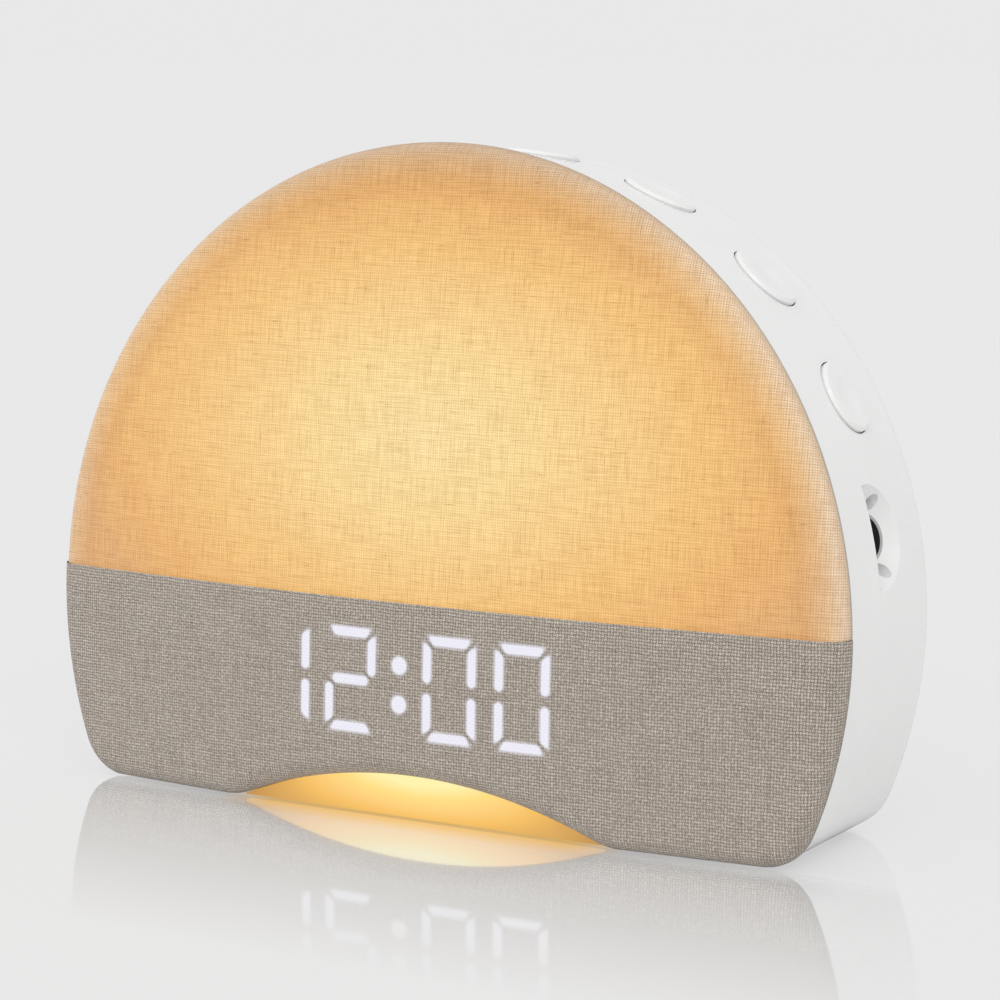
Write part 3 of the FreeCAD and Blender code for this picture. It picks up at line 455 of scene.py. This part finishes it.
def lit_linen():
    """Light linen with the lamp behind it, brightest at the middle."""
    mat, tree, bsdf = material("backlit_linen")
    uv, u, v = cloth_coordinates(tree)
    # Distance from the lamp's middle, in units of the glow's reach
    du = math_node(tree, "DIVIDE", math_node(tree, "SUBTRACT", u, GLOW_X), GLOW_REACH_X)
    dv = math_node(tree, "DIVIDE", math_node(tree, "SUBTRACT", v, GLOW_Z), GLOW_REACH_Z)
    far = distance(tree, du, dv)
    cloud = math_node(tree, "SUBTRACT", noise(tree, uv, CLOUD_SCALE, 2.0), 0.5)
    far = math_node(tree, "ADD", far, math_node(tree, "MULTIPLY", cloud, CLOUD_SHARE))
    glow = ramp(tree, far, GLOW_COLOURS)
    height = weave(tree, uv, u, v, LINEN_PITCH, LINEN_WANDER)
    shade = dashes(tree, uv, *LINEN_SLUBS)
    shade = multiplied(tree, shade, dashes(tree, uv, *LINEN_YARN))
    shade = multiplied(tree, shade, ramp(tree, height, LINEN_GAPS))
    colour = multiplied(tree, glow, shade)
    # Close to the rim the lamp no longer reaches and the plain cloth shows
    dv = math_node(tree, "SUBTRACT", v, CENTRE_H * MM)
    rim = tree.nodes.new("ShaderNodeMapRange")
    rim.inputs["From Min"].default_value = RIM_START * MM
    rim.inputs["From Max"].default_value = RIM_END * MM
    tree.links.new(distance(tree, u, dv), rim.inputs["Value"])
    dim = ramp(tree, rim.outputs[0], RIM_DIMMING)
    colour = multiplied(tree, colour, dim)
    cloth = ramp(tree, rim.outputs[0], RIM_CLOTH)
    top = ramp(tree, math_node(tree, "MULTIPLY", v, TOP_SCALE), TOP_SHADE)
    cloth = multiplied(tree, cloth, top)
    # Painted shade in the gaps between the threads and a painted highlight on their crowns, in
    # the plain cloth's colour
    base = multiplied(tree, cloth, ramp(tree, height, LINEN_GAP_SHADE))
    # The yarn's tone and the darker gaps go into the plain cloth too; there the darker gaps are
    # painted shade
    base = multiplied(tree, base, shade)
    tree.links.new(base, bsdf.inputs["Base Color"])
    tree.links.new(colour, bsdf.inputs["Emission Color"])
    bsdf.inputs["Emission Strength"].default_value = GLOW_STRENGTH
    bsdf.inputs["Roughness"].default_value = 0.92
    bsdf.inputs["Sheen Weight"].default_value = 0.15
    tree.links.new(bump(tree, height, 0.4, 0.0003), bsdf.inputs["Normal"])
    return mat


# Grey-taupe weave from the gaps between its threads to their crowns: painted shade in the gaps
# and a painted highlight on the crowns
WEAVE_TONE_AND_GAP_SHADE = [(0.0, (0.15, 0.125, 0.10)), (0.45, (0.345, 0.297, 0.25)),
                 (1.0, (0.575, 0.515, 0.45))]
# Spots of lighter and darker thread, and yarn as in the linen
WEAVE_SPOTS = [(0.30, (0.78, 0.77, 0.76)), (0.70, (1.22, 1.22, 1.22))]
WEAVE_YARN = (90.0, 1500.0, 0.28, 0.55, (0.80, 0.785, 0.77))
# A lit bar behind the weave, the threads before it, and the cloth's tone there, held dark so
# that the painted glow of the bar sets its colour
BAR_LIGHT = (0.80, 0.79, 0.87)
BAR_GAPS = [(0.0, (0.90, 0.90, 0.93)), (0.6, WHITE)]
LIT_CLOTH = (0.06, 0.06, 0.07)


def grey_cloth(name="grey_weave", glow=False):
    """Grey-taupe cover, plain weave; lit bars shine through it."""
    mat, tree, bsdf = material(name)
    uv, u, v = cloth_coordinates(tree)
    height = weave(tree, uv, u, v, WEAVE_PITCH, WEAVE_WANDER)
    spots = ramp(tree, noise(tree, uv, 1.0 / WEAVE_PITCH, 1.0), WEAVE_SPOTS)
    # The weave's grey-taupe tone, with painted shade in its gaps and a painted highlight on its
    # crowns
    colour = multiplied(tree, ramp(tree, height, WEAVE_TONE_AND_GAP_SHADE), spots)
    colour = multiplied(tree, colour, dashes(tree, uv, *WEAVE_YARN))
    tree.links.new(colour, bsdf.inputs["Base Color"])
    bsdf.inputs["Roughness"].default_value = 0.95
    bsdf.inputs["Sheen Weight"].default_value = 0.2
    tree.links.new(bump(tree, height, 0.7, 0.0004), bsdf.inputs["Normal"])
    if glow:
        amount = tree.nodes.new("ShaderNodeAttribute")
        amount.attribute_name = "glow"
        light = multiplied(tree, BAR_LIGHT, ramp(tree, height, BAR_GAPS))
        light = mix_colour(tree, amount.outputs["Fac"], BLACK, light)
        # Under the painted glow the cloth's base is held dark
        dimmed = mix_colour(tree, amount.outputs["Fac"], colour, LIT_CLOTH)
        tree.links.new(dimmed, bsdf.inputs["Base Color"])
        tree.links.new(light, bsdf.inputs["Emission Color"])
        bsdf.inputs["Emission Strength"].default_value = 1.0
    return mat


# Noise scales of moulded plastic: its tone, its polish and its grain
TONE_SCALE, POLISH_SCALE, GRAIN_SCALE = 30.0, 220.0, 2500.0
GRAIN_DEPTH = 0.0001


def plastic(name, colour, rough, grain=0.0, coat=0.0):
    """Moulded plastic with faint unevenness and, if asked, a fine grain."""
    mat, tree, bsdf = material(name)
    coords = object_coordinates(tree)
    cloud = noise(tree, coords, TONE_SCALE, 3.0)
    lighter = tuple(min(1.0, c * 1.015) for c in colour)
    darker = tuple(c * 0.975 for c in colour)
    tree.links.new(ramp(tree, cloud, [(0.3, darker), (0.7, lighter)]), bsdf.inputs["Base Color"])
    spread = ramp(tree, noise(tree, coords, POLISH_SCALE, 2.0),
                  [(0.3, (rough * 0.85,) * 3), (0.7, (rough * 1.2,) * 3)])
    tree.links.new(spread, bsdf.inputs["Roughness"])
    bsdf.inputs["Coat Weight"].default_value = coat
    bsdf.inputs["Coat Roughness"].default_value = 0.08
    if grain:
        height = noise(tree, coords, GRAIN_SCALE, 1.0)
        tree.links.new(bump(tree, height, grain, GRAIN_DEPTH), bsdf.inputs["Normal"])
    return mat


def steel(name):
    """Plated steel with fine streaks in its tone and polish."""
    mat, tree, bsdf = material(name)
    coords = object_coordinates(tree)
    streaks = noise(tree, stretched(tree, coords, 900.0, 60.0, 900.0), 1.0, 3.0)
    tree.links.new(ramp(tree, streaks, [(0.3, (0.50, 0.50, 0.49)), (0.7, (0.66, 0.66, 0.65))]),
                   bsdf.inputs["Base Color"])
    tree.links.new(ramp(tree, streaks, [(0.3, (0.25,) * 3), (0.7, (0.4,) * 3)]),
                   bsdf.inputs["Roughness"])
    bsdf.inputs["Metallic"].default_value = 1.0
    return mat


INLET_AXIS = (0.973, 0.088, 0.216)      # outward direction of the power inlet
INLET_GREY = (0.40, 0.40, 0.395)
# Painted shade inside the bore
BORE_SHADE = (0.02, 0.021, 0.02)


def inlet_plastic():
    """Pale rim of the power inlet, dark inside its bore: painted shade on the faces that turn
    away from its axis.
    """
    mat = plastic("grey_plastic", INLET_GREY, 0.35)
    tree = mat.node_tree
    bsdf = tree.nodes["Principled BSDF"]
    facing = tree.nodes.new("ShaderNodeVectorMath")
    facing.operation = "DOT_PRODUCT"
    tree.links.new(tree.nodes.new("ShaderNodeTexCoord").outputs["Normal"], facing.inputs[0])
    facing.inputs[1].default_value = INLET_AXIS
    # Faces turned away from the inlet's axis, the walls of the bore, get painted shade
    shade = ramp(tree, facing.outputs["Value"], [(0.35, BORE_SHADE), (0.6, INLET_GREY)])
    tree.links.new(shade, bsdf.inputs["Base Color"])
    return mat


def circuit(name, colour):
    """Board with a faint pattern of tracks under its lacquer."""
    mat, tree, bsdf = material(name)
    coords = object_coordinates(tree)
    cells = tree.nodes.new("ShaderNodeTexVoronoi")
    cells.distance = "MANHATTAN"
    cells.inputs["Scale"].default_value = 320.0
    tree.links.new(coords, cells.inputs["Vector"])
    bright = tuple(min(1.0, c * 1.5 + 0.02) for c in colour)
    tree.links.new(ramp(tree, cells.outputs["Distance"], [(0.30, colour), (0.42, bright)]),
                   bsdf.inputs["Base Color"])
    bsdf.inputs["Roughness"].default_value = 0.35
    return mat


# Night light window: half width and height in metres that its levels count in,
# and its colours from the dim corners to the bright top
LENS_HALF = 0.050
LENS_HEIGHT = 0.0145
LENS_COLOURS = [(0.0, (0.33, 0.15, 0.03)), (0.15, (0.43, 0.21, 0.045)),
                (0.3, (0.62, 0.33, 0.075)), (0.5, (0.87, 0.49, 0.10)),
                (0.65, (0.94, 0.59, 0.17)), (0.8, (0.97, 0.69, 0.20)),
                (1.0, (0.98, 0.86, 0.40))]
LENS_FOOT = 0.45        # level at the middle of its foot
LENS_CURVE = 1.7        # how late the light falls off towards the corners
LENS_FALL, LENS_DROP = 1.4, 0.26


def amber_lens():
    """Night light window, brightest at its top and amber at its foot."""
    mat, tree, bsdf = material("amber_lens")
    coords = object_coordinates(tree)
    split = separated(tree, coords)
    side = math_node(tree, "ABSOLUTE", math_node(tree, "DIVIDE", split[0], LENS_HALF))
    side = math_node(tree, "POWER", side, LENS_CURVE)
    keep = math_node(tree, "SUBTRACT", 1.0, math_node(tree, "MULTIPLY", side, LENS_FALL))
    height = math_node(tree, "DIVIDE", split[2], LENS_HEIGHT)
    level = math_node(tree, "MULTIPLY", height, keep)
    level = math_node(tree, "SUBTRACT", level, math_node(tree, "MULTIPLY", side, LENS_DROP))
    level = math_node(tree, "ADD", level, LENS_FOOT)
    tree.links.new(ramp(tree, level, LENS_COLOURS), bsdf.inputs["Emission Color"])
    bsdf.inputs["Emission Strength"].default_value = 1.0
    bsdf.inputs["Base Color"].default_value = (0.03, 0.02, 0.01, 1)
    bsdf.inputs["Roughness"].default_value = 0.6
    return mat


def glowing(name, colour, strength):
    """Lit resin or light guide, faintly uneven."""
    mat, tree, bsdf = material(name)
    coords = object_coordinates(tree)
    cloud = noise(tree, coords, 400.0, 1.0)
    darker = tuple(c * 0.9 for c in colour)
    tree.links.new(ramp(tree, cloud, [(0.3, darker), (0.7, colour)]),
                   bsdf.inputs["Emission Color"])
    bsdf.inputs["Emission Strength"].default_value = strength
    bsdf.inputs["Base Color"].default_value = (0.3, 0.3, 0.3, 1)
    return mat


# Covers
UPPER_HUB, LOWER_HUB = (0.0, 90.0), (0.0, 27.0)     # where the rings of a face end
UPPER_TUCK, LOWER_TUCK = 1.6, 1.8


def build_covers():
    upper = cover_mesh("upper_cover", upper_path(), 0.0, UPPER_HUB, UPPER_TUCK)
    upper.data.materials.append(lit_linen())
    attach(upper, "housing")
    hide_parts("upper_fabric")
    lower = cover_mesh("lower_cover", lower_path(), HEM_PROUD, LOWER_HUB, LOWER_TUCK)
    lower.data.materials.append(grey_cloth())
    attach(lower, "housing")
    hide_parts("lower_fabric")


# Digits
def rounded(corners, radius, steps=3):
    """Polygon with each corner cut by a short curve."""
    points = []
    n = len(corners)
    for i, (x, z) in enumerate(corners):
        ax, az = corners[i - 1]
        bx, bz = corners[(i + 1) % n]
        la, lb = math.hypot(ax - x, az - z), math.hypot(bx - x, bz - z)
        cut = min(radius, la * 0.45, lb * 0.45)
        start = (x + (ax - x) * cut / la, z + (az - z) * cut / la)
        end = (x + (bx - x) * cut / lb, z + (bz - z) * cut / lb)
        for k in range(steps + 1):
            t = k / steps
            px = (1 - t) ** 2 * start[0] + 2 * t * (1 - t) * x + t * t * end[0]
            pz = (1 - t) ** 2 * start[1] + 2 * t * (1 - t) * z + t * t * end[1]
            points.append((px, pz))
    return points


def bar_corners(letter, grow):
    """Corners of one bar, lettered as on a seven-bar display, grown by a margin.

    The slants at its ends are shares of half the bar's width.
    """
    half_w, half_h = DIGIT_W / 2, DIGIT_H / 2
    t = BAR_T / 2 + grow
    gap = BAR_GAP - grow
    if letter in "adg":
        side = {"a": 1, "g": 0, "d": -1}[letter]
        z = side * half_h
        reach = half_w - gap
        if side == 0:
            tip, end = reach + 0.3 * t, reach - 0.4 * t
            return [(-tip, z), (-end, z + t), (end, z + t),
                    (tip, z), (end, z - t), (-end, z - t)]
        wide, narrow = reach + 0.8 * t, reach - 0.35 * t
        return [(-wide, z + side * t), (wide, z + side * t),
                (narrow, z - side * t), (-narrow, z - side * t)]
    side = 1 if letter in "bc" else -1
    up = 1 if letter in "bf" else -1
    x = side * half_w
    outer = up * (half_h - gap)
    inner = up * gap
    return [(x + side * t, outer + 0.7 * up * t), (x + side * t, inner + 0.6 * up * t),
            (x, inner), (x - side * t, inner + 0.6 * up * t),
            (x - side * t, outer - 0.55 * up * t)]


def turn_way(points):
    """The polygon with its points in counter-clockwise order."""
    area = sum(a[0] * b[1] - b[0] * a[1] for a, b in zip(points, points[1:] + points[:1]))
    return points if area > 0 else points[::-1]


def patch(name, cx, rings, values, cloth):
    """Thin lit patch on the cover: rings of points from rim to middle."""
    verts, uvs, faces, glow = [], [], [], []
    n = len(rings[0])
    for ring, value in zip(rings, values):
        for x, z in ring:
            px, pz = cx + x, DISPLAY_H + z * math.cos(LEAN)
            y = dome_y(px, pz, HEM_PROUD) - PATCH_PROUD
            verts.append(place(px, y, pz))
            uvs.append((px * MM, pz * MM))
            glow.append(value)
    for r in range(len(rings) - 1):
        for i in range(n):
            a, b = r * n + i, r * n + (i + 1) % n
            faces.append((a, b, b + n, a + n))
    last = (len(rings) - 1) * n
    faces.append(tuple(range(last, last + n)))
    obj = new_object(name, verts, faces)
    set_uv(obj, uvs)
    set_value(obj, "glow", glow)
    obj.data.materials.append(cloth)
    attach(obj, "housing")


# Soft edge of a lit bar: how far each ring stands out, and how brightly it is lit
RING_GROWS = (0.85, 0.3, 0.0, -0.25)
RING_GLOWS = (0.0, 0.14, 0.55, 1.0)
PATCH_PROUD = 0.04      # the patch lies this far before the cover
BAR_ROUND = 0.9         # radius of a bar's corners
DOT_SIDES = 32


def build_digits():
    cloth = grey_cloth("lit_weave", glow=True)
    for index, (x, letters) in enumerate(zip(DIGIT_AT, DIGITS)):
        for letter in letters:
            rings = [turn_way(rounded(bar_corners(letter, grow), BAR_ROUND + grow / 2))
                     for grow in RING_GROWS]
            patch("lit_bar_%d_%s" % (index + 1, letter), x, rings, RING_GLOWS, cloth)
    for side, word in ((1, "upper"), (-1, "lower")):
        rings = []
        height = side * DOT_SPACING / 2
        for r in [DOT_R + grow for grow in RING_GROWS]:
            angles = [a * math.pi / (DOT_SIDES / 2) for a in range(DOT_SIDES)]
            rings.append([(r * math.cos(a), height + r * math.sin(a)) for a in angles])
        patch("lit_dot_" + word, COLON_X, rings, RING_GLOWS, cloth)


# Materials on the pieces that come from the CAD frame
def dress():
    looks = {
        "white_plastic": plastic("white_plastic", (0.83, 0.83, 0.825), 0.22, coat=0.4),
        "beige_plastic": plastic("beige_plastic", (0.42, 0.375, 0.32), 0.5, grain=0.2),
        "milky_plastic": plastic("milky_plastic", (0.85, 0.82, 0.76), 0.45),
        "dark_panel": plastic("dark_panel", (0.03, 0.03, 0.03), 0.5, grain=0.2),
        "reflector_white": plastic("reflector_white", (0.86, 0.86, 0.85), 0.6, grain=0.1),
        "white_board": circuit("white_board", (0.75, 0.75, 0.74)),
        "green_board": circuit("green_board", (0.02, 0.12, 0.06)),
        "warm_led": glowing("warm_led", (1.0, 0.75, 0.3), 1.0),
        "white_led": glowing("white_led", (0.9, 0.92, 1.0), 1.0),
        "light_guide": glowing("light_guide", (0.9, 0.9, 1.0), 0.9),
        "guide_plain": plastic("guide_plain", (0.7, 0.7, 0.7), 0.4),
        "amber_lens": amber_lens(),
        "black_plastic": plastic("black_plastic", (0.012, 0.012, 0.012), 0.35, grain=0.15),
        "dark_sleeve": plastic("dark_sleeve", (0.03, 0.04, 0.09), 0.3),
        "natural_plastic": plastic("natural_plastic", (0.80, 0.76, 0.66), 0.45),
        "zinc_steel": steel("zinc_steel"),
        "speaker_paper": plastic("speaker_paper", (0.03, 0.03, 0.03), 0.9, grain=0.5),
        "black_foam": plastic("black_foam", (0.02, 0.02, 0.02), 0.95, grain=0.8),
        "grey_plastic": inlet_plastic(),
        "grey_rubber": plastic("grey_rubber", (0.20, 0.20, 0.195), 0.8, grain=0.5),
        "ribbon_film": plastic("ribbon_film", (0.75, 0.72, 0.65), 0.3),
    }
    slots = {entry["node"]: entry["material_slot"] for entry in frame["record"]["subparts"]}
    for name, slot_name in slots.items():
        obj = bpy.data.objects.get(name)
        if obj is None or slot_name not in looks:
            continue
        if not obj.material_slots:
            obj.data.materials.append(looks[slot_name])
        for material_slot in obj.material_slots:
            material_slot.material = looks[slot_name]


# Room: floor, light and camera
PALE = 0.807            # the pale grey behind the clock, as a linear value
FLOOR_HALF = 30.0
EVEN_SHARE = 0.8        # part of the floor's tone that doesn't depend on the light
MIRROR_ROUGH = 0.05
MIRROR_LEAN = 0.017     # tangent of the lean of the polished surface
TO_CAMERA = (0.56, -0.83)       # level direction towards the viewer
NIGHT_REACH = 0.052     # half the width of the warm strip under the arch
NIGHT_TONE = (0.93, 0.60, 0.22)
NIGHT_FRONT, NIGHT_DEPTH = 0.040, 0.025     # where its ramp starts and how deep it is
NIGHT_SIDES = [(0.75, WHITE), (1.0, BLACK)]
NIGHT_ALONG = [(0.18, BLACK), (0.46, WHITE), (0.80, WHITE), (1.0, BLACK)]
POLISH_LONG = 0.165     # depth of the strip in which the floor mirrors
POLISH_START = 0.19     # share of that depth that lies behind the origin
POLISH_SHARE = [(0.0, (0.18, 0.18, 0.18)), (0.33, (0.20, 0.20, 0.20)),
                (0.39, (0.56, 0.56, 0.56)), (1.0, BLACK)]
POLISH_FADE = (0.17, 0.30)      # distances from the clock between which it ends


def mixed(tree, share, first, second):
    made = tree.nodes.new("ShaderNodeMixShader")
    tree.links.new(share, made.inputs[0])
    tree.links.new(first.outputs[0], made.inputs[1])
    tree.links.new(second.outputs[0], made.inputs[2])
    return made


def build_floor():
    far = FLOOR_HALF
    floor = new_object("floor", [(-far, -far, 0), (far, -far, 0), (far, far, 0), (-far, far, 0)],
                       [(0, 1, 2, 3)], smooth=False)
    mat = bpy.data.materials.new("pale_floor")
    mat.use_nodes = True
    tree = mat.node_tree
    tree.nodes.clear()
    diffuse = tree.nodes.new("ShaderNodeBsdfDiffuse")
    diffuse.inputs["Color"].default_value = (PALE, PALE, PALE, 1)
    # Part of the floor's own tone doesn't depend on the light, so that the
    # contact shadow stays as faint as on the lit table of the photograph
    even = tree.nodes.new("ShaderNodeEmission")
    # The night light warms the strip of floor under the arch
    coords = object_coordinates(tree)
    split = separated(tree, coords)
    wide = math_node(tree, "ABSOLUTE", math_node(tree, "DIVIDE", split[0], NIGHT_REACH))
    wide = ramp(tree, wide, NIGHT_SIDES)
    under = math_node(tree, "ADD", split[1], NIGHT_FRONT)
    under = math_node(tree, "MULTIPLY", under, 1.0 / NIGHT_DEPTH)
    warm = multiplied(tree, wide, ramp(tree, under, NIGHT_ALONG))
    tone = mix_colour(tree, warm, (PALE, PALE, PALE), NIGHT_TONE)
    tree.links.new(tone, even.inputs["Color"])
    path = tree.nodes.new("ShaderNodeLightPath")
    seen = math_node(tree, "MULTIPLY", path.outputs["Is Camera Ray"], EVEN_SHARE)
    ground = mixed(tree, seen, diffuse, even)
    gloss = tree.nodes.new("ShaderNodeBsdfGlossy")
    gloss.inputs["Roughness"].default_value = MIRROR_ROUGH
    gloss.inputs["Color"].default_value = (1, 1, 1, 1)
    # The polished surface leans a trace towards the viewer, which draws the
    # mirror image in as the photograph shows it
    lean = tree.nodes.new("ShaderNodeCombineXYZ")
    slope = (TO_CAMERA[0] * MIRROR_LEAN, TO_CAMERA[1] * MIRROR_LEAN, 1.0)
    for socket, value in zip(lean.inputs, slope):
        socket.default_value = value
    tree.links.new(lean.outputs[0], gloss.inputs["Normal"])
    # The polish is strongest along the clock's front and fades ahead of it
    ahead = math_node(tree, "MULTIPLY", split[1], -1.0 / POLISH_LONG)
    share = ramp(tree, math_node(tree, "ADD", ahead, POLISH_START), POLISH_SHARE)
    # Round the clock it ends too, so that no lamp shows in the surface
    reach = tree.nodes.new("ShaderNodeVectorMath")
    reach.operation = "LENGTH"
    tree.links.new(coords, reach.inputs[0])
    near = tree.nodes.new("ShaderNodeMapRange")
    near.interpolation_type = "SMOOTHSTEP"
    near.inputs["From Min"].default_value = POLISH_FADE[0]
    near.inputs["From Max"].default_value = POLISH_FADE[1]
    near.inputs["To Min"].default_value = 1.0
    near.inputs["To Max"].default_value = 0.0
    tree.links.new(reach.outputs["Value"], near.inputs["Value"])
    polish = math_node(tree, "MULTIPLY", share, near.outputs[0])
    mix = mixed(tree, polish, ground, gloss)
    out = tree.nodes.new("ShaderNodeOutputMaterial")
    tree.links.new(mix.outputs[0], out.inputs[0])
    floor.data.materials.append(mat)


AMBIENT = 0.72      # strength of the light from all round
# Each lamp: name, energy, spread, tilt and turn in degrees
LAMPS = (("key", 1.05, 50, 48, 35), ("fill", 0.50, 80, 60, -50))


def build_light():
    """Even pale surroundings and two soft lamps."""
    world = bpy.data.worlds.new("studio")
    bpy.context.scene.world = world
    world.use_nodes = True
    tree = world.node_tree
    tree.nodes.clear()
    ambient = tree.nodes.new("ShaderNodeBackground")
    ambient.inputs[0].default_value = (1, 1, 1, 1)
    ambient.inputs[1].default_value = AMBIENT
    seen = tree.nodes.new("ShaderNodeBackground")
    seen.inputs[0].default_value = (PALE, PALE, PALE, 1)
    seen.inputs[1].default_value = 1.0
    path = tree.nodes.new("ShaderNodeLightPath")
    either = math_node(tree, "MAXIMUM", path.outputs["Is Camera Ray"],
                       path.outputs["Is Glossy Ray"])
    either = math_node(tree, "MAXIMUM", either, path.outputs["Is Transmission Ray"])
    mix = mixed(tree, either, ambient, seen)
    out = tree.nodes.new("ShaderNodeOutputWorld")
    tree.links.new(mix.outputs[0], out.inputs[0])
    for name, energy, spread, tilt, turn in LAMPS:
        lamp = bpy.data.lights.new(name, "SUN")
        lamp.energy = energy
        lamp.angle = math.radians(spread)
        obj = bpy.data.objects.new(name, lamp)
        obj.rotation_euler = (math.radians(tilt), 0, math.radians(turn))
        bpy.context.scene.collection.objects.link(obj)


# The photograph's view: angles in degrees, distance and aim height in
# millimetres, focal length and shift in thousandths of the picture's width
YAW, PITCH = 33.946, 7.886
DISTANCE, AIM_H = 751.8, 60
FOCAL, SHIFT_X, SHIFT_Y = 3514.1, 65.8, 38.9
SENSOR = 36.0


def build_camera():
    yaw, pitch = math.radians(YAW), math.radians(PITCH)
    back = Vector((math.sin(yaw) * math.cos(pitch), -math.cos(yaw) * math.cos(pitch),
                   math.sin(pitch)))
    right = Vector((math.cos(yaw), math.sin(yaw), 0))
    up = back.cross(right)
    data = bpy.data.cameras.new("camera")
    data.sensor_width = SENSOR
    data.lens = FOCAL * SENSOR / 1000
    data.shift_x = SHIFT_X / 1000
    data.shift_y = SHIFT_Y / 1000
    data.clip_start = 0.01
    obj = bpy.data.objects.new("camera", data)
    turn = Matrix((right, up, back)).transposed().to_4x4()
    obj.matrix_world = Matrix.Translation(place(0, 0, AIM_H) + back * DISTANCE * MM) @ turn
    bpy.context.scene.collection.objects.link(obj)
    bpy.context.scene.camera = obj


build_covers()
build_digits()
dress()
build_floor()
build_light()
build_camera()
bpy.context.scene.view_settings.view_transform = "Standard"
